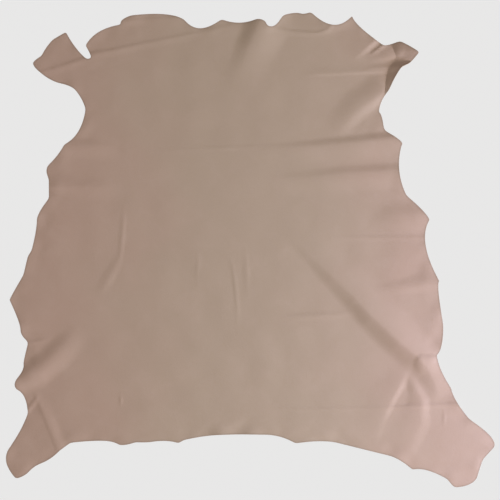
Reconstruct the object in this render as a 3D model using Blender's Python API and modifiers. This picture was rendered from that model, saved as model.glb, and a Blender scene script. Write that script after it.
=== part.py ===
"""A whole leather hide, grain side up, lying loose on the surface it rests on.

The skin is one sheet.  Its outline is a closed run of shallow bows between the tips that were
clipped while it dried.  Most of it rests flat, and soft folds, a few of them running off the
cut edge, lift the rest.  The strip along the outer side of the right fore shank is turned up.

Sizes in the tables are millimetres.  +X is the right flank, +Y the neck, +Z up from the
underside that rests on the surface.
"""

from collections import namedtuple

import bpy
import numpy as np
from mathutils.geometry import delaunay_2d_cdt

MM = 0.001

SKIN_THICKNESS = 1.2        # split and shaved for garments and bags
EDGE_STEP = 10.0            # spacing of the points along the cut edge
SURFACE_STEP = 20.0         # spacing of the points over the open skin
FOLD_STEP = 13.0            # spacing of the points along a fold
CLEARANCE = 0.55            # share of a spacing that later points keep from earlier ones
CREASE_CLEARANCE = 1.0      # the same for the turned crease, in millimetres
WELD = 0.01                 # points nearer than this become one

LEATHER_COLOUR = (0.40, 0.29, 0.22, 1.0)
LEATHER_ROUGHNESS = 0.55

# ---------------------------------------------------------------------------------------------
# The cut edge.  Each row is one bow: it starts at (x, y) and ends where the next row starts,
# clockwise seen from above.  bow is how far it swells out of the skin, or dips in if negative,
# and lean is how far along the bow that depth comes, from 0 at its start to 1 at its end.
# ---------------------------------------------------------------------------------------------

Bow = namedtuple("Bow", "x y bow lean")

NECK = (
    Bow(-316, 385, -1.0, 0.5),      # bottom of the slit between shank and neck
    Bow(-328, 409, 9.8, 0.46),
    Bow(-257, 451, 5.0, 0.3),
    Bow(-238, 469, 8.2, 0.62),
    Bow(-130, 460, -17.2, 0.43),
    Bow(-56, 461.6, -7.4, 0.5),
    Bow(16, 462.4, 4.6, 0.62),
    Bow(34, 450, -9.4, 0.36),
    Bow(66, 469, 3.4, 0.6),
    Bow(106, 472, -0.6, 0.5),
    Bow(123, 476, -21.2, 0.56),
)
RIGHT_FORE_SHANK = (
    Bow(205, 468, -4.8, 0.34),
    Bow(264, 412, -4.0, 0.32),
    Bow(300, 417.6, 1.2, 0.5),
    Bow(339, 395, 0.0, 0.5),        # outer tip
    Bow(320, 373, 0.0, 0.5),
    Bow(304, 365.6, -1.6, 0.45),
    Bow(279, 320, -4.3, 0.52),
)
RIGHT_FLANK = (
    Bow(258.6, 276, 3.0, 0.3),
    Bow(269, 239.4, 5.2, 0.78),
    Bow(304, 210, -9.6, 0.5),
    Bow(314, 109, 2.6, 0.62),
    Bow(360, 61, -15.8, 0.4),
    Bow(379.4, -62, -3.4, 0.26),
    Bow(387.4, -150, 5.6, 0.65),
    Bow(374, -210, -4.0, 0.45),
    Bow(403, -276, -4.2, 0.4),
    Bow(440, -338.6, 9.0, 0.7),
)
RIGHT_HIND_SHANK = (
    Bow(489, -394, 0.0, 0.5),
    Bow(467, -418, -0.6, 0.5),
    Bow(455, -455, 6.2, 0.42),
    Bow(410, -474.4, 0.6, 0.5),
    Bow(396, -458, -6.4, 0.6),
)
BUTT = (
    Bow(326, -439, -3.0, 0.55),
    Bow(280, -411, 0.0, 0.5),
    Bow(180, -386.4, -4.4, 0.42),
    Bow(92, -386.4, -5.2, 0.5),
    Bow(24, -369, -1.0, 0.5),
    Bow(-70, -370, -1.2, 0.5),
    Bow(-132, -380, 0.0, 0.5),
    Bow(-142, -386, -3.6, 0.45),
    Bow(-200, -384, 0.4, 0.5),
    Bow(-228, -384, 1.8, 0.55),
    Bow(-260, -389.6, -1.8, 0.45),
    Bow(-286, -381.6, -1.4, 0.4),
)
LEFT_HIND_SHANK = (
    Bow(-358, -385, 0.0, 0.5),
    Bow(-380, -401, 3.0, 0.5),
    Bow(-420, -427.6, -1.2, 0.5),
    Bow(-440, -441.6, 2.4, 0.45),
    Bow(-467, -457.2, 1.8, 0.55),   # lower tip
    Bow(-485.6, -427, 2.4, 0.5),
    Bow(-483, -400, -3.0, 0.55),
)
LEFT_FLANK = (
    Bow(-443, -326, -7.6, 0.6),
    Bow(-466, -278, 4.4, 0.45),
    Bow(-464, -256, -3.4, 0.6),
    Bow(-451.6, -228, 1.0, 0.3),
    Bow(-442, -184, 3.2, 0.6),
    Bow(-457.6, -160, -2.4, 0.35),
    Bow(-479.6, -100, 0.8, 0.3),
    Bow(-452, -50, 0.0, 0.5),
    Bow(-443, -12, 0.0, 0.5),
    Bow(-435.6, -1, -1.8, 0.6),
    Bow(-425, 62, 2.6, 0.4),
    Bow(-401, 103, 0.0, 0.5),
    Bow(-401, 142, 5.0, 0.58),
    Bow(-401, 171, -2.0, 0.5),
    Bow(-370, 211, -10.4, 0.45),
)
LEFT_FORE_SHANK = (
    Bow(-327.6, 282, -2.4, 0.5),
    Bow(-348, 320, -2.6, 0.4),
    Bow(-380, 334, 3.8, 0.45),
    Bow(-429, 365, 0.0, 0.5),
    Bow(-434, 374, 1.0, 0.5),       # outer tip
    Bow(-416, 388, 1.6, 0.5),
    Bow(-393, 421, 0.0, 0.5),
    Bow(-367, 436, -3.0, 0.5),      # tip beside the neck
    Bow(-328, 383.4, -2.2, 0.5),
)
CUT_EDGE = (NECK + RIGHT_FORE_SHANK + RIGHT_FLANK + RIGHT_HIND_SHANK
            + BUTT + LEFT_HIND_SHANK + LEFT_FLANK + LEFT_FORE_SHANK)

# ---------------------------------------------------------------------------------------------
# The folds.  A crest runs straight from (x1, y1) to (x2, y2).  left and right are the widths of
# its two slopes, seen along that run.  rise_end and fall_end are the shares of the run over
# which it climbs from nothing and dies away again; with 0 it is at full height to its end.
# ---------------------------------------------------------------------------------------------

Fold = namedtuple("Fold", "x1 y1 x2 y2 height left right rise_end fall_end")

RUN_OFF = 25.0              # how soon a fold that is at full height to its end stops beyond it

FOLDS = (
    Fold(84, 34, 376, -260, 8.5, 72, 33, 0.75, 0.18),       # long fold across the right hind
    Fold(24, 470, -28, 344, 9.0, 56, 36, 0.0, 0.85),        # up to the middle of the neck
    Fold(186, 246, 260, 302, 7.0, 30, 27, 0.55, 0.0),       # behind the right shoulder
    Fold(-336, -164, -452, -264, 7.0, 34, 27, 0.65, 0.0),   # in front of the left hind shank
    Fold(240, 366, 262, 422, 7.5, 32, 33, 0.4, 0.0),        # foot of the right fore shank
    Fold(100, 202, 312, 217, 3.6, 24, 34, 0.7, 0.0),        # across the right ribs
    Fold(100, 144, 312, 157, 2.6, 22, 36, 0.7, 0.0),
    Fold(262, 78, 362, 72, 3.6, 28, 52, 0.5, 0.0),
    Fold(286, -76, 390, -52, 3.2, 28, 32, 0.5, 0.0),
    Fold(310, -262, 252, -384, 3.0, 20, 32, 0.2, 0.7),      # beside the right hind shank
    Fold(-404, 209, -270, 209, 3.0, 24, 26, 0.0, 0.7),      # across the left ribs
    Fold(-412, 131, -270, 127, 3.6, 26, 34, 0.0, 0.7),
    Fold(-250, 0, -286, -84, 3.0, 20, 18, 0.4, 0.4),
    Fold(-422, -296, -386, -392, 3.2, 36, 44, 0.2, 0.0),    # root of the left hind shank
    Fold(-404, 354, -330, 386, 2.4, 30, 34, 0.3, 0.0),      # along the left fore shank
)

# The strip turned up along the right fore shank starts at a sharp crease through these points,
# and curls up and over: steep at the crease, flatter towards the edge.
Turn = namedtuple("Turn", "x y")

TURNED_CREASE = (
    Turn(271, 308),
    Turn(274, 330),
    Turn(278, 356),
    Turn(283, 372),
    Turn(293, 386),
    Turn(295, 424),
)
TURNED_HEIGHT = 55.0        # what the curl would level off at, were the strip wider
TURNED_REACH = 62.0         # how far across the strip the curl takes to flatten


def bow_points(row, after, step):
    """Points along one bow, a parabola whose handle sits at twice the depth of the bow."""
    start = np.array((row.x, row.y))
    chord = np.array((after.x, after.y)) - start
    length = np.hypot(*chord)
    outward = np.array((-chord[1], chord[0])) / length
    handle = start + chord * (2 * row.lean - 0.5) + outward * 2 * row.bow
    pieces = max(1, round(length / step))
    t = np.arange(pieces)[:, None] / pieces
    return start * (1 - t) ** 2 + handle * 2 * t * (1 - t) + (start + chord) * t ** 2


def cut_edge_points(step):
    """The whole cut edge, clockwise, each tip kept as a point of its own."""
    following = CUT_EDGE[1:] + CUT_EDGE[:1]
    return np.vstack([bow_points(row, after, step) for row, after in zip(CUT_EDGE, following)])


def smooth(share):
    """An even climb from 0 to 1 that starts and ends level."""
    share = np.clip(share, 0, 1)
    return share * share * (3 - 2 * share)


def fold_lift(fold, x, y):
    """Height of one fold: a rounded crest with a slope of its own width on each side."""
    run_x = fold.x2 - fold.x1
    run_y = fold.y2 - fold.y1
    length = np.hypot(run_x, run_y)
    along = ((x - fold.x1) * run_x + (y - fold.y1) * run_y) / length ** 2
    across = ((y - fold.y1) * run_x - (x - fold.x1) * run_y) / length
    width = np.where(across > 0, fold.left, fold.right)
    lift = fold.height * (0.5 + 0.5 * np.cos(np.pi * np.clip(np.abs(across) / width, 0, 1)))
    beyond = np.maximum(along - 1, -along) * length
    lift = lift * smooth(1 - beyond / RUN_OFF)
    if fold.rise_end:
        lift = lift * smooth(along / fold.rise_end)
    if fold.fall_end:
        lift = lift * smooth((1 - along) / fold.fall_end)
    return lift


def turned_lift(x, y):
    """Height of the turned-up strip, which starts at its crease and flattens outwards."""
    crease_x = [turn.x for turn in TURNED_CREASE]
    crease_y = [turn.y for turn in TURNED_CREASE]
    beyond = np.maximum(x - np.interp(y, crease_y, crease_x), 0)
    beyond = np.where(y > crease_y[0], beyond, 0)
    return TURNED_HEIGHT * (1 - np.exp(-beyond / TURNED_REACH))


def skin_lift(x, y):
    """Height of the underside above the surface it rests on."""
    return sum(fold_lift(fold, x, y) for fold in FOLDS) + turned_lift(x, y)


def within(points, loop):
    """True for each point from which a line towards +X crosses the loop an odd number of times."""
    x, y = points.T[:, :, None]
    x1, y1 = loop.T[:, None, :]
    x2, y2 = np.roll(loop, -1, axis=0).T[:, None, :]
    straddles = (y1 > y) != (y2 > y)
    rise = np.where(y2 == y1, 1, y2 - y1)
    crossing = x1 + (y - y1) * (x2 - x1) / rise
    return (straddles & (x < crossing)).sum(axis=1) % 2 == 1


def clear_of(points, others, distance):
    """True for each point that keeps the distance from every one of the others."""
    gaps = points[:, None, :] - others[None, :, :]
    return np.hypot(gaps[..., 0], gaps[..., 1]).min(axis=1) > distance


def fold_points(fold):
    """Evenly spaced points along the crest of a fold, then half way down each slope."""
    start = np.array((fold.x1, fold.y1))
    run = np.array((fold.x2, fold.y2)) - start
    length = np.hypot(*run)
    leftward = np.array((-run[1], run[0])) / length
    line = start + run * np.linspace(0, 1, round(length / FOLD_STEP) + 1)[:, None]
    return np.vstack((line, line + leftward * fold.left / 2, line - leftward * fold.right / 2))


def open_skin_points(loop):
    """A staggered grid of points over the whole skin."""
    low = loop.min(axis=0)
    high = loop.max(axis=0)
    row_gap = SURFACE_STEP * np.sqrt(3) / 2
    columns = np.arange(low[0], high[0], SURFACE_STEP)
    rows = np.arange(low[1], high[1], row_gap)
    x, y = np.meshgrid(columns, rows)
    x[1::2] += SURFACE_STEP / 2
    return np.column_stack((x.ravel(), y.ravel()))


def plan_points(loop):
    """Points of the cut edge first, then the turned crease, the folds and the open skin."""
    kept = loop
    families = [(np.array(TURNED_CREASE, dtype=float), CREASE_CLEARANCE)]
    families += [(fold_points(fold), CLEARANCE * FOLD_STEP) for fold in FOLDS]
    families += [(open_skin_points(loop), CLEARANCE * SURFACE_STEP)]
    for points, distance in families:
        points = points[within(points, loop)]
        points = points[clear_of(points, kept, distance)]
        kept = np.vstack((kept, points))
    return kept


def laid_sheet():
    """The underside of the skin as one open surface, its outline centred on the origin."""
    loop = cut_edge_points(EDGE_STEP)
    centre = (loop.min(axis=0) + loop.max(axis=0)) / 2
    points = plan_points(loop)
    outline = [list(range(len(loop)))[::-1]]
    inside_only = 1
    flat = delaunay_2d_cdt(points.tolist(), [], outline, inside_only, WELD)
    plan = np.array(flat[0])
    triangles = flat[2]
    height = skin_lift(plan[:, 0], plan[:, 1])
    vertices = np.column_stack((plan - centre, height)) * MM
    mesh = bpy.data.meshes.new("hide")
    mesh.from_pydata(vertices.tolist(), [], triangles)
    return mesh


def leather():
    """Undyed pinkish-beige grain leather."""
    material = bpy.data.materials.new("leather")
    material.use_nodes = True
    shader = material.node_tree.nodes["Principled BSDF"]
    shader.inputs["Base Color"].default_value = LEATHER_COLOUR
    shader.inputs["Roughness"].default_value = LEATHER_ROUGHNESS
    shader.inputs["Metallic"].default_value = 0.0
    return material


def build():
    """One skin: the laid surface, thickened upwards from the side it rests on."""
    for old in list(bpy.data.objects):
        bpy.data.objects.remove(old)
    collection = bpy.data.collections.new("leather_hide")
    bpy.context.scene.collection.children.link(collection)
    mesh = laid_sheet()
    mesh.materials.append(leather())
    mesh.shade_smooth()
    hide = bpy.data.objects.new("hide", mesh)
    collection.objects.link(hide)
    skin = hide.modifiers.new("skin", 'SOLIDIFY')
    skin.thickness = SKIN_THICKNESS * MM
    skin.offset = 1.0
    skin.use_even_offset = True


build()
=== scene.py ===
# %% [markdown]
# # A whole leather hide, laid out flat
# The real thing is one skin of a sheep or a goat, tanned, split to an even thickness and
# left undyed.  It lies grain side up on a table.  This lesson builds it as one thin sheet
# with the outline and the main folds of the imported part, then gives it three finishes: the
# smooth grain side, the napped flesh side below, and the raw cut edge between them.
#
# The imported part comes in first, because every place and size starts from it.

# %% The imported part
from collections import namedtuple

import bpy
import numpy as np
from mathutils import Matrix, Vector
from mathutils.geometry import delaunay_2d_cdt


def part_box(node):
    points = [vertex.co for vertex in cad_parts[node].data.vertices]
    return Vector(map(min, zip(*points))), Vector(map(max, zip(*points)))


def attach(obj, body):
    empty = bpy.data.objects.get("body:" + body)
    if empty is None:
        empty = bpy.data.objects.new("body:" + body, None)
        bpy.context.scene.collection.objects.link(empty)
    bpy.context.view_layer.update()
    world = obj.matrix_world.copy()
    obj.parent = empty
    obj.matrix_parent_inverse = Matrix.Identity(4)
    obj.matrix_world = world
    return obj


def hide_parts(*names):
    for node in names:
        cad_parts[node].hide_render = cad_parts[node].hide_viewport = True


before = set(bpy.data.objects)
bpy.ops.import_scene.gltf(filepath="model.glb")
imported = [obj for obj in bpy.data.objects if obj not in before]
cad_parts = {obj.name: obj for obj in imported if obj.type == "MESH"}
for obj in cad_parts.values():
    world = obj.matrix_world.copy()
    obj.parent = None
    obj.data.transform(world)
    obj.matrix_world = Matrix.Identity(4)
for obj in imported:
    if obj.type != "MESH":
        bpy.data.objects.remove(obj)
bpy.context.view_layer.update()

MM = 0.001
hide_low, hide_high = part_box("hide")
hide_centre = np.array(((hide_low + hide_high) / 2).xy)
hide_span = np.array((hide_high - hide_low).xy)
print("packed hide", [round(side, 4) for side in hide_high - hide_low], "metres")

# %% [markdown]
# ## The cut edge
# A skin is trimmed by hand, and its edge runs in shallow scallops between the points where
# clips held it while it dried.  One such scallop is well drawn by one bow: a piece of a
# parabola between two points.  The whole edge is a closed run of bows, clockwise seen from
# above.  bow is how far a bow swells out of the skin, or dips in if negative, and lean is
# how far along it that depth comes.  The sizes are millimetres, with the neck towards +Y.
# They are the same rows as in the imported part, so that the two have one outline.

# %% Bows round the neck and the fore shanks
Bow = namedtuple("Bow", "x y bow lean")

NECK = (
    Bow(-316, 385, -1.0, 0.5),      # bottom of the slit between shank and neck
    Bow(-328, 409, 9.8, 0.46),
    Bow(-257, 451, 5.0, 0.3),
    Bow(-238, 469, 8.2, 0.62),
    Bow(-130, 460, -17.2, 0.43),
    Bow(-56, 461.6, -7.4, 0.5),
    Bow(16, 462.4, 4.6, 0.62),
    Bow(34, 450, -9.4, 0.36),
    Bow(66, 469, 3.4, 0.6),
    Bow(106, 472, -0.6, 0.5),
    Bow(123, 476, -21.2, 0.56),
)
RIGHT_FORE_SHANK = (
    Bow(205, 468, -4.8, 0.34),
    Bow(264, 412, -4.0, 0.32),
    Bow(300, 417.6, 1.2, 0.5),
    Bow(339, 395, 0.0, 0.5),        # outer tip
    Bow(320, 373, 0.0, 0.5),
    Bow(304, 365.6, -1.6, 0.45),
    Bow(279, 320, -4.3, 0.52),
)
LEFT_FORE_SHANK = (
    Bow(-327.6, 282, -2.4, 0.5),
    Bow(-348, 320, -2.6, 0.4),
    Bow(-380, 334, 3.8, 0.45),
    Bow(-429, 365, 0.0, 0.5),
    Bow(-434, 374, 1.0, 0.5),       # outer tip
    Bow(-416, 388, 1.6, 0.5),
    Bow(-393, 421, 0.0, 0.5),
    Bow(-367, 436, -3.0, 0.5),      # tip beside the neck
    Bow(-328, 383.4, -2.2, 0.5),
)
print(len(NECK), "bows round the neck")

# %% Bows down the flanks
RIGHT_FLANK = (
    Bow(258.6, 276, 3.0, 0.3),
    Bow(269, 239.4, 5.2, 0.78),
    Bow(304, 210, -9.6, 0.5),
    Bow(314, 109, 2.6, 0.62),
    Bow(360, 61, -15.8, 0.4),
    Bow(379.4, -62, -3.4, 0.26),
    Bow(387.4, -150, 5.6, 0.65),
    Bow(374, -210, -4.0, 0.45),
    Bow(403, -276, -4.2, 0.4),
    Bow(440, -338.6, 9.0, 0.7),
)
LEFT_FLANK = (
    Bow(-443, -326, -7.6, 0.6),
    Bow(-466, -278, 4.4, 0.45),
    Bow(-464, -256, -3.4, 0.6),
    Bow(-451.6, -228, 1.0, 0.3),
    Bow(-442, -184, 3.2, 0.6),
    Bow(-457.6, -160, -2.4, 0.35),
    Bow(-479.6, -100, 0.8, 0.3),
    Bow(-452, -50, 0.0, 0.5),
    Bow(-443, -12, 0.0, 0.5),
    Bow(-435.6, -1, -1.8, 0.6),
    Bow(-425, 62, 2.6, 0.4),
    Bow(-401, 103, 0.0, 0.5),
    Bow(-401, 142, 5.0, 0.58),
    Bow(-401, 171, -2.0, 0.5),
    Bow(-370, 211, -10.4, 0.45),
)
print(len(RIGHT_FLANK) + len(LEFT_FLANK), "bows down the flanks")

# %% Bows round the butt and the hind shanks
RIGHT_HIND_SHANK = (
    Bow(489, -394, 0.0, 0.5),
    Bow(467, -418, -0.6, 0.5),
    Bow(455, -455, 6.2, 0.42),
    Bow(410, -474.4, 0.6, 0.5),
    Bow(396, -458, -6.4, 0.6),
)
BUTT = (
    Bow(326, -439, -3.0, 0.55),
    Bow(280, -411, 0.0, 0.5),
    Bow(180, -386.4, -4.4, 0.42),
    Bow(92, -386.4, -5.2, 0.5),
    Bow(24, -369, -1.0, 0.5),
    Bow(-70, -370, -1.2, 0.5),
    Bow(-132, -380, 0.0, 0.5),
    Bow(-142, -386, -3.6, 0.45),
    Bow(-200, -384, 0.4, 0.5),
    Bow(-228, -384, 1.8, 0.55),
    Bow(-260, -389.6, -1.8, 0.45),
    Bow(-286, -381.6, -1.4, 0.4),
)
LEFT_HIND_SHANK = (
    Bow(-358, -385, 0.0, 0.5),
    Bow(-380, -401, 3.0, 0.5),
    Bow(-420, -427.6, -1.2, 0.5),
    Bow(-440, -441.6, 2.4, 0.45),
    Bow(-467, -457.2, 1.8, 0.55),   # lower tip
    Bow(-485.6, -427, 2.4, 0.5),
    Bow(-483, -400, -3.0, 0.55),
)
CUT_EDGE = (NECK + RIGHT_FORE_SHANK + RIGHT_FLANK + RIGHT_HIND_SHANK
            + BUTT + LEFT_HIND_SHANK + LEFT_FLANK + LEFT_FORE_SHANK)
print(len(CUT_EDGE), "bows in all")

# %% [markdown]
# A blade never leaves a corner as sharp as the drawing of it.  The closed line is evened out
# a little after it is drawn: each point moves to the weighted mean of itself and its two
# neighbours, which rounds a corner by about one spacing and leaves the long bows alone.

# %% Drawing the cut edge
EDGE_STEP = 3.0             # spacing of the points along the cut edge
EVENING_PASSES = 2


def bow_points(row, after, step):
    """Points along one bow.

    P(t) = start (1-t)^2 + handle 2t(1-t) + end t^2, where the handle lies off the chord by
    twice the depth of the bow, on the outer side.
    """
    start = np.array((row.x, row.y))
    chord = np.array((after.x, after.y)) - start
    length = np.hypot(*chord)
    outward = np.array((-chord[1], chord[0])) / length
    handle = start + chord * (2 * row.lean - 0.5) + outward * 2 * row.bow
    pieces = max(1, round(length / step))
    t = np.arange(pieces)[:, None] / pieces
    return start * (1 - t) ** 2 + handle * 2 * t * (1 - t) + (start + chord) * t ** 2


def evened(loop, passes):
    """Each point becomes half itself and a quarter of each neighbour, as many times as asked."""
    for _ in range(passes):
        loop = (np.roll(loop, 1, axis=0) + 2 * loop + np.roll(loop, -1, axis=0)) / 4
    return loop


def cut_edge_points(step):
    """The whole cut edge, clockwise, as one closed line."""
    following = CUT_EDGE[1:] + CUT_EDGE[:1]
    return np.vstack([bow_points(row, after, step) for row, after in zip(CUT_EDGE, following)])


def loop_area(loop):
    """Half the sum of the cross products of neighbouring points."""
    x, y = loop.T
    return abs(np.sum(x * np.roll(y, -1) - y * np.roll(x, -1))) / 2


drawn_edge = cut_edge_points(EDGE_STEP)
table_centre = (drawn_edge.min(axis=0) + drawn_edge.max(axis=0)) / 2
edge_loop = evened(drawn_edge, EVENING_PASSES)
edge_length = np.hypot(*(edge_loop - np.roll(edge_loop, 1, axis=0)).T).sum()
hide_area = loop_area(edge_loop) * MM ** 2
print(len(edge_loop), "points, cut edge", round(edge_length * MM, 2), "m long, area",
      round(hide_area, 4), "square metres")

# %% [markdown]
# ## The folds
# Leather that was rolled and unrolled keeps some soft folds.  Each is a crest that runs
# through a few points, with its height there and the width of its slope on either side, left
# and right as seen along the run.  So a fold can climb, fan out, bend and die away.  pinch
# says how its section looks: 0 is evenly rounded, 1 is sharp at the crest and -1 is sharp at
# the feet.  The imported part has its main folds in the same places, straighter and some of
# them higher, so the rows here are not the same as its own.

# %% The folds
Fold = namedtuple("Fold", "pinch run")
Crest = namedtuple("Crest", "x y height left right")

FOLDS = (
    Fold(0.35, (                        # long fold across the right hind
        Crest(72, 32, 0.0, 50, 18),
        Crest(110, 0, 1.2, 50, 20),
        Crest(150, -38, 2.6, 55, 24),
        Crest(190, -76, 4.2, 60, 30),
        Crest(222, -108, 5.2, 62, 33),
        Crest(246, -134, 6.4, 62, 36),
        Crest(300, -184, 7.6, 58, 38),
        Crest(338, -216, 7.0, 50, 38),
        Crest(358, -240, 4.5, 44, 34),
        Crest(372, -268, 2.0, 36, 26),
        Crest(382, -296, 0.0, 30, 20),
    )),
    Fold(0.0, (                         # up to the middle of the neck
        Crest(30, 472, 6.5, 60, 34),
        Crest(16, 436, 5.2, 62, 36),
        Crest(0, 400, 3.0, 60, 36),
        Crest(-16, 362, 1.3, 56, 34),
        Crest(-34, 322, 0.0, 50, 30),
    )),
    Fold(0.0, (                         # behind the right shoulder
        Crest(170, 228, 0.0, 36, 22),
        Crest(196, 262, 1.8, 42, 26),
        Crest(226, 291, 2.8, 44, 26),
        Crest(264, 318, 3.6, 44, 24),
    )),
    Fold(0.0, (                         # in front of the left hind shank
        Crest(-466, -264, 4.4, 30, 34),
        Crest(-425, -243, 4.4, 32, 36),
        Crest(-392, -214, 3.6, 32, 38),
        Crest(-362, -184, 1.8, 28, 36),
        Crest(-336, -156, 0.0, 24, 32),
    )),
    Fold(0.3, (                         # foot of the right fore shank
        Crest(264, 432, 2.6, 11, 46),
        Crest(246, 416, 2.4, 11, 46),
        Crest(228, 400, 1.2, 10, 40),
        Crest(206, 380, 0.0, 9, 34),
    )),
    Fold(0.2, (                         # across the right ribs
        Crest(-30, 198, 0.0, 10, 26),
        Crest(60, 203, 0.6, 12, 30),
        Crest(130, 208, 1.6, 16, 38),
        Crest(200, 214, 2.4, 18, 42),
        Crest(258, 220, 3.0, 18, 44),
        Crest(312, 226, 3.4, 20, 44),
    )),
    Fold(0.0, (
        Crest(40, 140, 0.0, 16, 30),
        Crest(110, 143, 1.0, 20, 38),
        Crest(180, 150, 1.8, 20, 40),
        Crest(250, 155, 2.2, 20, 40),
        Crest(312, 158, 2.6, 20, 42),
    )),
    Fold(0.0, (                         # at the right flank
        Crest(236, 58, 0.0, 30, 34),
        Crest(290, 66, 1.6, 38, 42),
        Crest(330, 70, 2.6, 42, 44),
        Crest(372, 72, 3.0, 44, 44),
    )),
    Fold(0.0, (
        Crest(250, -78, 0.0, 12, 14),
        Crest(300, -74, 0.9, 16, 18),
        Crest(345, -67, 1.6, 26, 22),
        Crest(392, -58, 2.2, 32, 24),
    )),
    Fold(0.0, (                         # root of the right hind shank
        Crest(322, -258, 0.3, 14, 10),
        Crest(330, -276, 1.3, 16, 18),
        Crest(344, -304, 1.9, 18, 42),
        Crest(340, -345, 1.4, 26, 54),
        Crest(318, -392, 0.8, 26, 52),
    )),
    Fold(0.0, (                         # across the left ribs
        Crest(-412, 212, 2.2, 20, 26),
        Crest(-350, 208, 2.0, 20, 26),
        Crest(-300, 204, 1.2, 20, 26),
        Crest(-262, 202, 0.0, 18, 24),
    )),
    Fold(0.3, (
        Crest(-412, 128, 3.0, 30, 12),
        Crest(-380, 127, 2.4, 30, 20),
        Crest(-340, 126, 1.6, 24, 32),
        Crest(-290, 125, 0.8, 20, 32),
        Crest(-255, 125, 0.0, 16, 28),
    )),
)


def smooth(share):
    """3s^2 - 2s^3: an even climb from 0 to 1 that starts and ends level."""
    share = np.clip(share, 0, 1)
    return share * share * (3 - 2 * share)


def section(share, pinch):
    """Height across a fold, 1 at the crest and 0 at the foot, where share goes from 0 to 1.

    Rounded is (1 + cos(pi s)) / 2.  It blends into 1 - sin(pi s / 2), sharp at the crest, as
    pinch goes to 1, and into cos(pi s / 2), sharp at the foot, as pinch goes to -1.
    """
    share = np.clip(share, 0, 1)
    even = 0.5 + 0.5 * np.cos(np.pi * share)
    sharp = 1 - np.sin(np.pi / 2 * share) if pinch > 0 else np.cos(np.pi / 2 * share)
    return even + (sharp - even) * abs(pinch)


def fold_lift(fold, x, y):
    """Height of one fold: its height at the nearest point of the run, times its section.

    The width goes over from the left one to the right one as the nearest point's direction
    turns from one side to the other, which matters only beyond the two ends.
    """
    nearest = np.full(x.shape, np.inf)
    height, left, right, side = np.zeros((4, *x.shape))
    for here, after in zip(fold.run[:-1], fold.run[1:]):
        run_x = after.x - here.x
        run_y = after.y - here.y
        length = np.hypot(run_x, run_y)
        share = np.clip(((x - here.x) * run_x + (y - here.y) * run_y) / length ** 2, 0, 1)
        gap_x = x - here.x - share * run_x
        gap_y = y - here.y - share * run_y
        gap = np.hypot(gap_x, gap_y) + 1e-9
        closer = gap < nearest
        nearest = np.where(closer, gap, nearest)
        side = np.where(closer, (gap_y * run_x - gap_x * run_y) / (length * gap), side)
        height = np.where(closer, here.height + (after.height - here.height) * share, height)
        left = np.where(closer, here.left + (after.left - here.left) * share, left)
        right = np.where(closer, here.right + (after.right - here.right) * share, right)
    width = (left * (1 + side) + right * (1 - side)) / 2
    return height * section(nearest / width, fold.pinch)


print(len(FOLDS), "folds, the highest",
      max(crest.height for fold in FOLDS for crest in fold.run), "mm")

# %% [markdown]
# Along the outer side of the right fore shank a strip of the skin has turned up.  It leaves
# the table at a sharp crease and flattens again towards its cut edge, as a curl does.  It
# twists near its middle, so its height varies along the crease.

# %% The turned-up strip
Turn = namedtuple("Turn", "x y height")

TURNED_CREASE = (
    Turn(268, 306, 30),
    Turn(271, 320, 52),
    Turn(272, 335, 54),
    Turn(275, 352, 52),
    Turn(279, 366, 46),
    Turn(290, 377, 24),
    Turn(293, 387, 40),
    Turn(289, 398, 50),
    Turn(284, 412, 52),
    Turn(282, 430, 52),
)
TURNED_REACH = 120.0        # how far across the strip the curl takes to flatten
TURNED_START = 10.0         # how soon the crease reaches its full slope along the edge


def turned_lift(x, y):
    """Height of the strip: H (1 - exp(-d / R)), where d is the distance beyond the crease.

    H is what the curl would level off at, were the strip wider.
    """
    crease_y = [turn.y for turn in TURNED_CREASE]
    crease_x = np.interp(y, crease_y, [turn.x for turn in TURNED_CREASE])
    height = np.interp(y, crease_y, [turn.height for turn in TURNED_CREASE])
    beyond = np.maximum(x - crease_x, 0)
    lift = height * (1 - np.exp(-beyond / TURNED_REACH))
    return lift * smooth((y - crease_y[0]) / TURNED_START)


print("strip rises to", round(float(turned_lift(339.0, 395.0)), 1), "mm at its tip")

# %% [markdown]
# ## Creases, troughs and draw marks
# Finer marks tell leather from cloth: thin creases where it was folded, shallow pulls from
# the belly and the shanks, pleats where the shank was bunched.  They are rows of the same
# kind as the folds, only narrower and lower.

# %% The creases across the neck and the fore shanks
def crease(pinch, *rows):
    """A fold from rows of x, y, height, left and right."""
    return Fold(pinch, tuple(Crest(*row) for row in rows))


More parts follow.
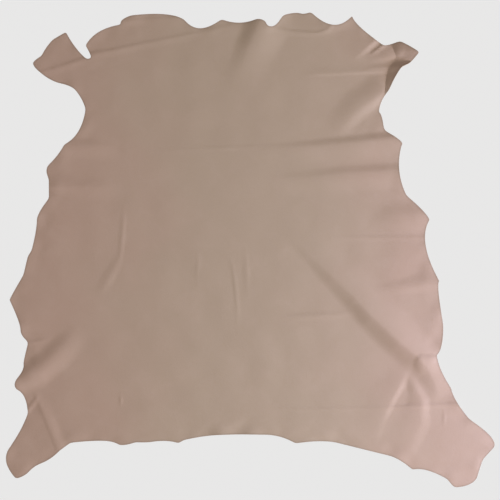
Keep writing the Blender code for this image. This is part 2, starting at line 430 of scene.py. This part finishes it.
NECK_CREASES = (
    # across the left fore shank, then along under the neck
    crease(0.3, (-432, 350, 0.5, 8, 16), (-376, 367, 0.9, 7, 16), (-326, 384, 0.9, 7, 14),
           (-312, 389, 0.2, 6, 12)),
    crease(0.3, (-320, 392, 0.9, 6, 14), (-280, 398, 0.9, 6, 14), (-225, 410, 0.7, 6, 14),
           (-108, 434, 0.5, 5, 14), (-36, 450, 0.3, 5, 12)),
    crease(0.0, (-252, 458, 0.5, 5, 12), (-190, 462, 0.5, 6, 14), (-130, 466, 0.3, 5, 12)),
    # under the right side of the neck
    crease(0.3, (36, 448, 0.3, 5, 12), (80, 437, 0.7, 5, 12), (135, 434, 0.7, 5, 12),
           (156, 441, 0.5, 5, 10), (168, 456, 0.4, 5, 8)),
    crease(0.0, (140, 452, 0.0, 10, 20), (180, 460, 0.9, 12, 26), (215, 466, 1.2, 12, 28)),
    # from the shoulder to the right fore shank
    crease(0.4, (104, 349, 0.0, 16, 5), (150, 352, 0.5, 18, 5), (210, 355, 0.7, 20, 5.5),
           (250, 358, 1.0, 22, 7), (280, 360, 1.4, 24, 9)),
    crease(0.0, (225, 361, 0.0, 6, 4), (250, 363, 0.4, 8, 4), (278, 365, 0.5, 8, 4)),
    # pleats at the foot of the right fore shank
    crease(0.3, (270, 412, 1.2, 8, 4), (252, 399, 1.0, 8, 4), (238, 388, 0.0, 6, 4)),
    crease(0.0, (296, 392, 1.6, 12, 26), (276, 386, 1.5, 12, 24), (256, 384, 0.8, 12, 20),
           (236, 380, 0.0, 10, 16)),
)
print(len(NECK_CREASES), "creases across the neck and the fore shanks")

# %% [markdown]
# The back is firm and shows few marks: faint pulls across it, where the skin hung over a
# pole to dry, and short draw marks down it.  The looser flanks show more.  All are rows of
# the same kind, so no new function is needed.

# %% The creases of the back and the flanks
BODY_CREASES = (
    # small pulls across
    crease(0.0, (140, 26, 0.0, 6, 9), (250, 25, 0.4, 6, 9), (352, 26, 0.4, 6, 9)),
    crease(0.0, (-240, 196, 0.0, 6, 9), (-60, 204, 0.3, 6, 9), (112, 214, 0.0, 6, 9)),
    crease(0.0, (60, -134, 0.0, 7, 12), (110, -132, 0.6, 8, 12), (170, -129, 0.6, 8, 12),
           (215, -124, 0.0, 6, 10)),
    crease(0.0, (20, -316, 0.0, 4, 8), (120, -317, 0.3, 4, 8), (250, -316, 0.3, 4, 8),
           (350, -311, 0.6, 6, 9), (420, -308, 0.7, 6, 9)),
    # draw marks down the middle
    crease(0.0, (-102, 0, 0.0, 6, 6), (-103, -30, 0.35, 6, 8), (-106, -70, 0.0, 6, 8)),
    crease(0.0, (-40, 0, 0.0, 8, 5), (-30, -60, 0.45, 8, 5), (-25, -110, 0.35, 8, 5),
           (-25, -155, 0.0, 8, 5)),
    crease(0.0, (-8, 8, 0.0, 8, 10), (-6, -40, 0.4, 8, 10), (-2, -100, 0.0, 8, 10)),
    # on the left side
    crease(0.0, (-250, 92, 0.0, 5, 8), (-252, 50, 0.5, 6, 9), (-256, 0, 0.5, 6, 9),
           (-262, -30, 0.0, 6, 8)),
    crease(0.0, (-256, -6, 0.0, 12, 14), (-270, -36, 0.7, 14, 16), (-286, -64, 0.7, 14, 18),
           (-300, -88, 0.0, 12, 16)),
    crease(0.0, (-256, -286, 0.0, 4, 5), (-257, -300, 0.5, 4, 5), (-257, -316, 0.0, 4, 5)),
    crease(0.0, (-470, -150, 1.0, 14, 14), (-448, -152, 0.6, 14, 14), (-420, -156, 0.0, 12, 12)),
    crease(0.0, (-444, -186, 0.6, 5, 8), (-420, -182, 0.5, 5, 8), (-396, -176, 0.0, 5, 8)),
    # a short tuck at the right flank
    crease(-1.0, (350, -219, 1.6, 11, 30), (362, -219, 2.0, 11.5, 32), (384, -221, 2.4, 12, 34)),
)
print(len(BODY_CREASES), "creases over the back and the flanks")

# %% [markdown]
# Where a hind shank joins the butt the skin was shaped round a joint, and will not lie flat.
# It puckers into ridges that fan out from there.

# %% The creases of the hind shanks
HIND_CREASES = (
    # root of the left hind shank
    crease(0.0, (-446, -322, 0.9, 5, 9), (-430, -302, 0.8, 5, 9), (-424, -292, 0.0, 5, 9)),
    crease(0.3, (-426, -292, 0.5, 14, 8), (-404, -345, 0.6, 14, 7), (-384, -396, 0.5, 14, 7)),
    crease(0.0, (-418, -290, 0.0, 16, 30), (-396, -350, 0.9, 16, 44), (-378, -396, 1.0, 16, 44)),
    # root of the right hind shank
    crease(0.0, (312, -244, 0.4, 12, 40), (298, -272, 1.5, 14, 50), (280, -304, 1.2, 14, 50),
           (262, -345, 0.4, 12, 40), (250, -385, 0.2, 10, 30)),
    crease(0.0, (388, -316, 0.0, 6, 4), (389, -335, 0.4, 6, 4), (388, -356, 0.0, 6, 4)),
)
CREASES = NECK_CREASES + BODY_CREASES + HIND_CREASES
print(len(CREASES), "creases in all")

# %% [markdown]
# A skin is nowhere quite flat.  It cockles a little where the tannery's clips let it go,
# most of all near the cut edge.  Many gentle waves of random direction, added together, give
# that unevenness with no repeat.  The random numbers are seeded, so each run gives the same
# skin.

# %% Gentle unevenness
def uneven(x, y, seed, longest, shortest, waves=28):
    """Sum of sines, each with its own direction, length and phase, scaled to about -1 to 1."""
    draw = np.random.default_rng(seed)
    turn = draw.uniform(0, 2 * np.pi, waves)
    phase = draw.uniform(0, 2 * np.pi, waves)
    length = np.exp(draw.uniform(np.log(shortest), np.log(longest), waves))
    total = np.zeros(x.shape)
    for angle, shift, wave in zip(turn, phase, length):
        total += np.sin(2 * np.pi * (x * np.cos(angle) + y * np.sin(angle)) / wave + shift)
    return total / np.sqrt(waves)


COCKLE = 0.22               # how uneven the open skin is
COCKLE_LENGTHS = (220.0, 60.0)
RIPPLE = 0.45               # how much more it is along the cut edge
RIPPLE_LENGTHS = (90.0, 35.0)
RIPPLE_REACH = 40.0         # how far in from the cut edge the ripples go
RESTING = 0.6               # mean height of the open skin, so that few dips reach the table
COCKLE_SEED = 3
RIPPLE_SEED = 8

print("unevenness of the open skin about", COCKLE, "mm")

# %% [markdown]
# The distance of each point from the cut edge is needed twice: for the ripples, and later for
# the painted shade along the rim of the finish.  The points are taken in batches, so that the
# table of distances stays small.

# %% How far from the cut edge
BATCH = 4000


def in_batches(measure, points):
    """The measure of each point, worked out a batch at a time."""
    cuts = range(0, len(points), BATCH)
    return np.concatenate([measure(points[start:start + BATCH]) for start in cuts])


def gap_to(points, others):
    """Distance from each point to the nearest of the others: |p|^2 + |q|^2 - 2 p.q."""
    squares = (others ** 2).sum(axis=1)

    def measure(batch):
        table = (batch ** 2).sum(axis=1)[:, None] + squares - 2 * batch @ others.T
        return np.sqrt(np.maximum(table.min(axis=1), 0))

    return in_batches(measure, points)


def within(points, loop):
    """True where a line towards +X crosses the loop an odd number of times."""
    x1, y1 = loop.T
    x2, y2 = np.roll(loop, -1, axis=0).T
    rise = np.where(y2 == y1, 1, y2 - y1)

    def measure(batch):
        x, y = batch.T[:, :, None]
        straddles = (y1 > y) != (y2 > y)
        crossing = x1 + (y - y1) * (x2 - x1) / rise
        return (straddles & (x < crossing)).sum(axis=1) % 2 == 1

    return in_batches(measure, points)


def skin_lift(plan, edge_gap):
    """Height of the underside above the table: folds, strip, creases and unevenness, added.

    Where the sum would go below the table it stays at 0.
    """
    x, y = plan.T
    lift = sum(fold_lift(fold, x, y) for fold in FOLDS) + turned_lift(x, y)
    lift = lift + sum(fold_lift(mark, x, y) for mark in CREASES)
    cockle = COCKLE * uneven(x, y, COCKLE_SEED, *COCKLE_LENGTHS)
    near_edge = smooth(1 - edge_gap / RIPPLE_REACH)
    ripple = RIPPLE * near_edge * uneven(x, y, RIPPLE_SEED, *RIPPLE_LENGTHS)
    return np.maximum(lift + RESTING + cockle + ripple, 0)


print("the middle of the skin is",
      round(float(gap_to(np.zeros((1, 2)), edge_loop)[0])), "mm from the cut edge")

# %% [markdown]
# ## The sheet
# The skin is a height over its plan.  The plan needs points: the cut edge, two rows just
# inside it, rows along every crease so that the narrow ones stay crisp, and a staggered grid
# over the rest.  A constrained triangulation joins them inside the cut edge.  The grain side
# has close points.  The flesh side has wide ones, because nobody sees its finest creases.

# %% Points over the plan
GRAIN_STEP = 3.3            # spacing of the grain side's grid
FLESH_STEP = 8.0            # spacing of the flesh side's grid
INNER_ROWS = (2.0, 4.5)     # distances of the rows just inside the cut edge
ROW_CLEARANCE = 0.8         # share of that distance that a row keeps from earlier points
NORMAL_SPAN = 3             # how many points away the two are that give the edge's direction
TURNED_ROWS = 2.0           # distance of the rows on either side of the turned crease
CREASE_STEP = 3.6           # spacing along a crease
CREASE_REACH = 14.0         # a crease's rows go no further from its line than this
CREASE_CLEARANCE = 1.0      # what a point on a crease keeps from earlier ones
GRID_CLEARANCE = 0.52       # share of the grid's spacing that its points keep from others
WELD = 0.01                 # points nearer than this become one


def inner_row(loop, depth):
    """The cut edge moved inwards: each point shifted along the mean normal of its sides."""
    along = np.roll(loop, -NORMAL_SPAN, axis=0) - np.roll(loop, NORMAL_SPAN, axis=0)
    length = np.hypot(*along.T)[:, None]
    inward = np.column_stack((along[:, 1], -along[:, 0])) / length
    return loop + inward * depth


def crest_rows(points, left, right, step):
    """Rows of points along a run: on it, half way down each slope, and at each foot."""
    rows = []
    for here, after in zip(points[:-1], points[1:]):
        start = np.array((here.x, here.y), dtype=float)
        run = np.array((after.x, after.y)) - start
        length = np.hypot(*run)
        leftward = np.array((-run[1], run[0])) / length
        spine = start + run * np.linspace(0, 1, round(length / step) + 1)[:, None]
        for offset in (0, left / 2, -right / 2, left, -right):
            rows.append(spine + leftward * np.clip(offset, -CREASE_REACH, CREASE_REACH))
    return np.vstack(rows)


def staggered_grid(loop, step):
    """Rows of evenly spaced points, every other row shifted by half a spacing."""
    low = loop.min(axis=0)
    high = loop.max(axis=0)
    x, y = np.meshgrid(np.arange(low[0], high[0], step),
                       np.arange(low[1], high[1], step * np.sqrt(3) / 2))
    x[1::2] += step / 2
    return np.column_stack((x.ravel(), y.ravel()))


def plan_points(loop, step, creased):
    """The cut edge first, then each family of points that keeps clear of the earlier ones."""
    turned = crest_rows(TURNED_CREASE, TURNED_ROWS, TURNED_ROWS, CREASE_STEP)
    families = [(turned, CREASE_CLEARANCE)]
    if creased:
        families += [(inner_row(loop, depth), depth * ROW_CLEARANCE) for depth in INNER_ROWS]
        families += [(crest_rows(mark.run, mark.run[1].left, mark.run[1].right, CREASE_STEP),
                      CREASE_CLEARANCE) for mark in CREASES]
    families.append((staggered_grid(loop, step), GRID_CLEARANCE * step))
    kept = loop
    for points, clearance in families:
        points = points[within(points, loop)]
        kept = np.vstack((kept, points[gap_to(points, kept) > clearance]))
    return kept


def triangulated(points, loop):
    """The plan's points and triangles, turned to face up."""
    outline = [list(range(len(loop)))[::-1]]
    inside_only = 1
    flat = delaunay_2d_cdt(points.tolist(), [], outline, inside_only, WELD)
    return np.array(flat[0]), np.array(flat[2])


grain_plan, grain_faces = triangulated(plan_points(edge_loop, GRAIN_STEP, True), edge_loop)
flesh_plan, flesh_faces = triangulated(plan_points(edge_loop, FLESH_STEP, False), edge_loop)
print(len(grain_faces), "triangles on the grain side,", len(flesh_faces), "on the flesh side")

# %% [markdown]
# The sheet is a closed shell.  The flesh side lies at the height of the skin over the table.
# The grain side is the same height plus the thickness, measured square to the surface, so the
# turned-up strip is no thinner than the rest.  A band round the cut edge, bulged very
# slightly at its middle, joins the two.  All three share their points along the edge, so no
# seam is open.

# %% The closed shell
THICKNESS = 1.2             # split and shaved for garments and bags
SLOPE_STEP = 0.8            # how far to each side a slope is measured
EDGE_BULGE = 0.15           # how far the band stands out at its middle


def lift_and_facing(plan):
    """Height, upward direction square to the surface, and distance from the cut edge."""
    edge_gap = gap_to(plan, edge_loop)
    slopes = []
    for axis in (0, 1):
        step = np.zeros(2)
        step[axis] = SLOPE_STEP
        rise = skin_lift(plan + step, edge_gap) - skin_lift(plan - step, edge_gap)
        slopes.append(rise / (2 * SLOPE_STEP))
    facing = np.column_stack((-slopes[0], -slopes[1], np.ones(len(plan))))
    facing /= np.linalg.norm(facing, axis=1)[:, None]
    return skin_lift(plan, edge_gap), facing, edge_gap


def ring_faces(outer, inner, count):
    """Two triangles between each pair of neighbouring points of two rings."""
    here = np.arange(count)
    after = np.roll(here, -1)
    first = np.column_stack((outer + here, outer + after, inner + here))
    second = np.column_stack((outer + after, inner + after, inner + here))
    return np.vstack((first, second))


grain_lift, grain_facing, grain_gap = lift_and_facing(grain_plan)
flesh_lift, _, _ = lift_and_facing(flesh_plan)
grain_points = np.column_stack((grain_plan, grain_lift)) + grain_facing * THICKNESS
flesh_points = np.column_stack((flesh_plan, flesh_lift))
edge_count = len(edge_loop)
middle = (grain_points[:edge_count] + flesh_points[:edge_count]) / 2
middle[:, :2] -= inner_row(edge_loop, EDGE_BULGE) - edge_loop

shell_points = np.vstack((grain_points, flesh_points, middle))
shell_points[:, :2] -= table_centre
shell_points = shell_points * MM
shell_points[:, :2] += hide_centre
flesh_first = len(grain_points)
middle_first = flesh_first + len(flesh_points)
bands = (grain_faces, flesh_faces[:, ::-1] + flesh_first,
         ring_faces(0, middle_first, edge_count), ring_faces(middle_first, flesh_first, edge_count))
shell_faces = np.vstack(bands)
print("shell of", len(shell_faces), "triangles,",
      round(float(shell_points[:, 2].max()) / MM, 1), "mm high")

# %% [markdown]
# The numbers go into a mesh in whole arrays.  Each face names one of three finishes: 0 for
# the grain side, 1 for the flesh side and 2 for the cut edge.  One attribute travels with the
# points for the finish of the grain side to read: how far the point is from the cut edge.

# %% The hide's mesh
SHARP_ANGLE = 50            # degrees between faces past which their edge is shaded sharp


def add_attribute(mesh, name, values):
    """A number on each point of the mesh, under a name that a finish can read."""
    attribute = mesh.attributes.new(name, 'FLOAT', 'POINT')
    attribute.data.foreach_set("value", values.astype(np.float32))


def shell_mesh(name, points, faces, finish_of_face):
    """A mesh from whole arrays of points, triangles and finish numbers."""
    mesh = bpy.data.meshes.new(name)
    mesh.vertices.add(len(points))
    mesh.vertices.foreach_set("co", points.astype(np.float32).ravel())
    mesh.loops.add(faces.size)
    mesh.loops.foreach_set("vertex_index", faces.astype(np.int32).ravel())
    mesh.polygons.add(len(faces))
    mesh.polygons.foreach_set("loop_start", np.arange(0, faces.size, 3, dtype=np.int32))
    mesh.polygons.foreach_set("material_index", finish_of_face.astype(np.int32))
    mesh.update(calc_edges=True)
    mesh.validate()
    return mesh


finish_of_face = np.repeat((0, 1, 2, 2), [len(band) for band in bands])
hide_mesh = shell_mesh("leather_hide", shell_points, shell_faces, finish_of_face)
elsewhere = np.zeros(len(shell_points) - flesh_first)
add_attribute(hide_mesh, "edge_gap", np.concatenate((grain_gap, elsewhere)))
hide_mesh.shade_smooth()
hide_mesh.set_sharp_from_angle(angle=np.radians(SHARP_ANGLE))
hide = bpy.data.objects.new("leather_hide", hide_mesh)
bpy.context.scene.collection.objects.link(hide)
open_edges = len(hide_mesh.edges) - len(shell_faces) * 3 // 2
print("edges that are not shared by two faces:", open_edges)

# %% [markdown]
# ## A small language for finishes
# A finish is a sheet of shader nodes.  It reads better as arithmetic than as boxes and wires.
# A Signal is the output of one node, and adding or multiplying Signals adds Math nodes.  A
# Finish holds the sheet, and its node method makes any other node: it takes the node's type,
# its settings, and the values or Signals for its sockets.

# %% Signals and finishes
class Signal:
    """One output socket of a shader node; arithmetic on it adds Math nodes."""

    def __init__(self, finish, socket):
        self.finish = finish
        self.socket = socket

    def math(self, operation, *values, clamp=False):
        settings = {"operation": operation, "use_clamp": clamp}
        return self.finish.node("ShaderNodeMath", settings, dict(enumerate(values)))

    def __add__(self, other):
        return self.math('ADD', self, other)

    def __sub__(self, other):
        return self.math('SUBTRACT', self, other)

    def __rsub__(self, other):
        return self.math('SUBTRACT', other, self)

    def __mul__(self, other):
        return self.math('MULTIPLY', self, other)

    def __truediv__(self, other):
        return self.math('DIVIDE', self, other)

    __radd__ = __add__
    __rmul__ = __mul__

    def size(self):
        return self.math('ABSOLUTE', self)

    def clipped(self):
        return self.math('ADD', self, 0.0, clamp=True)

    def ramp(self, low, high):
        """0 at low, 1 at high, level beyond and smooth between."""
        settings = {"interpolation_type": 'SMOOTHSTEP'}
        return self.finish.node("ShaderNodeMapRange", settings,
                                {"Value": self, "From Min": low, "From Max": high})


class Finish:
    """A material and the sheet of nodes that makes it."""

    def __init__(self, name):
        self.material = bpy.data.materials.new(name)
        self.material.use_nodes = True
        self.tree = self.material.node_tree
        self.shader = self.tree.nodes["Principled BSDF"]
        self.place = self.node("ShaderNodeTexCoord", {}, {}, "Object")

    def node(self, kind, settings, sockets, output=0):
        made = self.tree.nodes.new(kind)
        for name, value in settings.items():
            setattr(made, name, value)
        for name, value in sockets.items():
            self.plug(made, name, value)
        return Signal(self, made.outputs[output])

    def plug(self, node, name, value):
        if isinstance(value, Signal):
            self.tree.links.new(value.socket, node.inputs[name])
        else:
            node.inputs[name].default_value = value

    def set(self, **values):
        for name, value in values.items():
            self.plug(self.shader, name.replace("_", " "), value)

    def axes(self, vector):
        split = self.node("ShaderNodeSeparateXYZ", {}, {0: vector})
        return [Signal(self, socket) for socket in split.socket.node.outputs]

    def attribute(self, name):
        return self.node("ShaderNodeAttribute", {"attribute_name": name}, {}, "Fac")

    def noise(self, size, detail=2.0, roughness=0.5, distortion=0.0, place=None):
        """Cloudy noise from 0 to 1 whose blobs are about the given size in millimetres."""
        sockets = {"Vector": place or self.place, "Scale": 1 / (size * MM), "Detail": detail,
                   "Roughness": roughness, "Distortion": distortion}
        return self.node("ShaderNodeTexNoise", {}, sockets, "Fac")

    def cells(self, size, feature='F1'):
        """Distance within cells a given number of mm wide: to their points or their borders."""
        sockets = {"Vector": self.place, "Scale": 1 / (size * MM)}
        return self.node("ShaderNodeTexVoronoi", {"feature": feature}, sockets, "Distance")

    def mix(self, factor, first, second):
        """A colour between two others."""
        sockets = {0: factor, 6: first, 7: second}
        return self.node("ShaderNodeMix", {"data_type": 'RGBA'}, sockets, 2)

    def bump(self, height, strength, depth, below=None):
        """Small relief of the given depth in millimetres, on top of any relief below."""
        sockets = {"Height": height, "Strength": strength, "Distance": depth * MM}
        if below is not None:
            sockets["Normal"] = below
        return self.node("ShaderNodeBump", {}, sockets)


def colour(red, green, blue):
    """A linear colour, fully opaque."""
    return (red, green, blue, 1.0)


print("a small language for finishes is ready")

# %% [markdown]
# ## The grain side
# Undyed crust leather is not one colour.  The back is firmer and takes more of the tan, a
# greenish beige.  The loose flanks and the shanks are pinker.  Over that lie clouds of paler
# and darker skin, then the pores.  The surface has the soft gloss of skin: about half rough,
# a bit smoother where it was stretched and rubbed.

# %% The tones of the grain side
BACK_TONE = colour(0.405, 0.310, 0.232)
FLANK_TONE = colour(0.430, 0.298, 0.232)
PALE_TONE = colour(0.500, 0.372, 0.300)
RIM_SHADE_TONE = colour(0.235, 0.165, 0.120)
PORE_TONE = colour(0.300, 0.205, 0.150)
BACK_HALF = 0.06            # metres from the middle at which the back starts to turn pinker
BACK_FADE = 0.36            # metres over which it does
BACK_WANDER = 0.30          # metres by which the clouds shift that
PALE_SHARE = 0.16           # how much of the pale tone shows in the palest patches

grain = Finish("leather_grain")
across, _, _ = grain.axes(grain.place)
clouds = grain.noise(210, detail=3.0, distortion=0.3)
patches = grain.noise(42, detail=4.0, roughness=0.6, distortion=0.5)
flank_share = ((across.size() - BACK_HALF + (clouds - 0.5) * BACK_WANDER) / BACK_FADE).clipped()
tone = grain.mix(flank_share.ramp(0.0, 1.0), BACK_TONE, FLANK_TONE)
tone = grain.mix(patches.ramp(0.42, 0.80) * PALE_SHARE, tone, PALE_TONE)
print("tones run from the back to the flanks, with", len(grain.tree.nodes), "nodes so far")

# %% [markdown]
# The pores of a goat or a sheep skin sit well under a millimetre apart, with a net of fine
# wrinkles some two or three millimetres wide between them.  Both are relief, and both also
# darken the colour a trace where they lie.

# %% Pores and wrinkles
PORE_SPACING = 0.8
WRINKLE_SPACING = 2.6
PORE_SHARE = 0.30           # how far the pores go towards their darker tone
WRINKLE_SHARE = 0.10

wobble = grain.noise(5.0, detail=2.0)
pores = grain.cells(PORE_SPACING).ramp(0.0, 0.42)
net = grain.cells(WRINKLE_SPACING, feature='DISTANCE_TO_EDGE').ramp(0.0, 0.16)
tone = grain.mix((1 - pores) * PORE_SHARE, tone, PORE_TONE)
tone = grain.mix((1 - net) * WRINKLE_SHARE, tone, PORE_TONE)
print("pores every", PORE_SPACING, "mm, wrinkles every", WRINKLE_SPACING, "mm")

# %% [markdown]
# The grain side is painted darker along the cut edge: painted shade, standing in for the thin
# shadow line round the outline.  The rim fades over a few millimetres, and its width wanders.

# %% The painted shade along the rim, gloss and relief of the grain side
# the rim values below set painted shade: a dark line along the cut edge that stands in for its
# shadow
RIM_SHADE_WIDTH = 4.5             # millimetres over which the rim fades
RIM_SHADE_WANDER = 2.0            # millimetres by which that varies
RIM_SHADE_SHARE = 0.45            # how far it goes towards its tone at the very edge
GRAIN_ROUGHNESS = 0.50

edge_gap = grain.attribute("edge_gap")
# the rim is painted shade along the cut edge, not a colour of the leather itself
rim_shade = 1 - ((edge_gap - (wobble - 0.5) * RIM_SHADE_WANDER) / RIM_SHADE_WIDTH).ramp(0.0, 1.0)
tone = grain.mix(rim_shade * RIM_SHADE_SHARE, tone, RIM_SHADE_TONE)
gloss_roughness = GRAIN_ROUGHNESS + (patches - 0.5) * 0.14 + (wobble - 0.5) * 0.08
relief = grain.bump(net, 0.55, 0.10)
relief = grain.bump(pores, 0.60, 0.06, below=relief)
relief = grain.bump(patches, 0.35, 0.9, below=relief)
grain.set(Base_Color=tone, Roughness=gloss_roughness, Normal=relief)
grain.set(Specular_IOR_Level=0.45, Metallic=0.0)
print("grain side finished with", len(grain.tree.nodes), "nodes")

# %% [markdown]
# ## The flesh side and the cut edge
# Below, the skin was split, which leaves a short nap of loose fibres.  It is paler than the
# grain, dull, and streaked where the knife and the brush went.  The cut edge shows the same
# fibres end on, in thin layers.

# %% The flesh side
NAP_PALE = colour(0.520, 0.410, 0.320)
NAP_DARK = colour(0.400, 0.300, 0.225)
NAP_ROUGHNESS = 0.86
BRUSHED = (1.0, 0.25, 1.0)  # the pattern runs four times as long along the skin as across

flesh = Finish("leather_flesh")
brushed = flesh.node("ShaderNodeMapping", {}, {"Vector": flesh.place, "Scale": BRUSHED})
fibres = flesh.noise(1.6, detail=4.0, roughness=0.7, distortion=0.6, place=brushed)
strokes = flesh.noise(60, detail=3.0, place=brushed)
nap = flesh.mix((fibres * 0.6 + strokes * 0.4).ramp(0.3, 0.7), NAP_DARK, NAP_PALE)
flesh.set(Base_Color=nap, Roughness=NAP_ROUGHNESS + (strokes - 0.5) * 0.12)
flesh.set(Normal=flesh.bump(fibres, 0.8, 0.35), Sheen_Weight=0.2, Specular_IOR_Level=0.25)
print("flesh side finished with", len(flesh.tree.nodes), "nodes")

# %% The cut edge
EDGE_PALE = colour(0.430, 0.325, 0.245)
EDGE_DARK = colour(0.240, 0.165, 0.120)
EDGE_ROUGHNESS = 0.8
LAYERED = (1.0, 1.0, 5.0)   # the pattern is five times as fine through the skin as along it

cut = Finish("leather_cut_edge")
layered = cut.node("ShaderNodeMapping", {}, {"Vector": cut.place, "Scale": LAYERED})
layers = cut.noise(1.2, detail=3.0, roughness=0.65, place=layered)
cut.set(Base_Color=cut.mix(layers.ramp(0.32, 0.66), EDGE_DARK, EDGE_PALE))
cut.set(Roughness=EDGE_ROUGHNESS + (layers - 0.5) * 0.2, Normal=cut.bump(layers, 0.7, 0.2))
cut.set(Specular_IOR_Level=0.3)
for finish in (grain, flesh, cut):
    hide_mesh.materials.append(finish.material)
print("finishes on the hide:", [slot.name for slot in hide_mesh.materials])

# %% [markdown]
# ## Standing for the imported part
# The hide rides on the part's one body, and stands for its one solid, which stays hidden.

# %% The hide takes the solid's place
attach(hide, "root")
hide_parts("hide")
print("flat size", [round(float(side), 3) for side in hide_span], "metres")

# %% [markdown]
# ## Table, lights and camera
# The table is a plain pale sheet that is lit evenly from within, as a light box is, so that
# it stays the same pale grey everywhere.

# %% The table
FLOOR_SIDE = 14.0
FLOOR_GLOW = 0.760
FLOOR_GREY = 0.10

floor_half = FLOOR_SIDE / 2
floor_mesh = bpy.data.meshes.new("floor")
floor_corners = [(-floor_half, -floor_half, 0), (floor_half, -floor_half, 0),
                 (floor_half, floor_half, 0), (-floor_half, floor_half, 0)]
floor_mesh.from_pydata(floor_corners, [], [(0, 1, 2, 3)])
floor = bpy.data.objects.new("floor", floor_mesh)
bpy.context.scene.collection.objects.link(floor)
pale = Finish("pale_table")
pale.set(Base_Color=colour(FLOOR_GREY, FLOOR_GREY, FLOOR_GREY), Roughness=1.0,
         Specular_IOR_Level=0.0, Emission_Color=colour(1.0, 1.0, 1.0),
         Emission_Strength=FLOOR_GLOW)
floor_mesh.materials.append(pale.material)
print("table", FLOOR_SIDE, "metres square")

# %% [markdown]
# A window far to the right gives the raking light that brings out the folds, and a lower,
# bluer one is near the right edge.  A light that grazes a surface shows far more of its
# relief than one from above.  Both are linked to the hide alone, so they leave the table
# even.  The room gives a warm, dim light from all round.

# %% The lights
ROOM_LIGHT = (0.470, 0.430, 0.400)


def window(name, place, aim, width, height, power, tint):
    """A soft rectangular light that shines on the hide alone."""
    data = bpy.data.lights.new(name, 'AREA')
    data.shape = 'RECTANGLE'
    data.size = width
    data.size_y = height
    data.energy = power
    data.color = tint
    light = bpy.data.objects.new(name, data)
    light.location = place
    light.rotation_euler = (Vector(aim) - Vector(place)).to_track_quat('-Z', 'Y').to_euler()
    light.visible_camera = False
    light.light_linking.receiver_collection = lit_by_windows
    bpy.context.scene.collection.objects.link(light)


lit_by_windows = bpy.data.collections.new("lit_by_windows")
lit_by_windows.objects.link(hide)
window("far_window", place=(2.72, -1.27, 1.15), aim=(0, 0, 0), width=1.3, height=0.9,
       power=125, tint=(1.0, 1.0, 1.0))
window("low_window", place=(1.26, -0.34, 0.30), aim=(0, 0, 0), width=0.5, height=0.3,
       power=15, tint=(0.5, 0.6, 1.0))
room = bpy.data.worlds.new("room")
room.use_nodes = True
room.node_tree.nodes["Background"].inputs["Color"].default_value = (*ROOM_LIGHT, 1.0)
bpy.context.scene.world = room
bpy.context.scene.view_settings.view_transform = 'Standard'
print("two windows and the light of the room")

# %% [markdown]
# The camera looks straight down.  It stands high with a long lens, so that a fold's height
# hardly shifts it in the picture.

# %% The camera
CAMERA_HEIGHT = 6.0
FIELD = 1.0                 # width of the table that the camera sees
SENSOR = 36.0
CAMERA_SIDESTEP = -0.0006   # both ways, so that the hide sits in the frame as it should

eye = bpy.data.cameras.new("camera")
eye.sensor_width = SENSOR
eye.lens = SENSOR * CAMERA_HEIGHT / FIELD
camera = bpy.data.objects.new("camera", eye)
camera.location = (CAMERA_SIDESTEP, CAMERA_SIDESTEP, CAMERA_HEIGHT)
bpy.context.scene.collection.objects.link(camera)
bpy.context.scene.camera = camera
print("camera", CAMERA_HEIGHT, "metres above the table, lens", round(eye.lens), "mm")
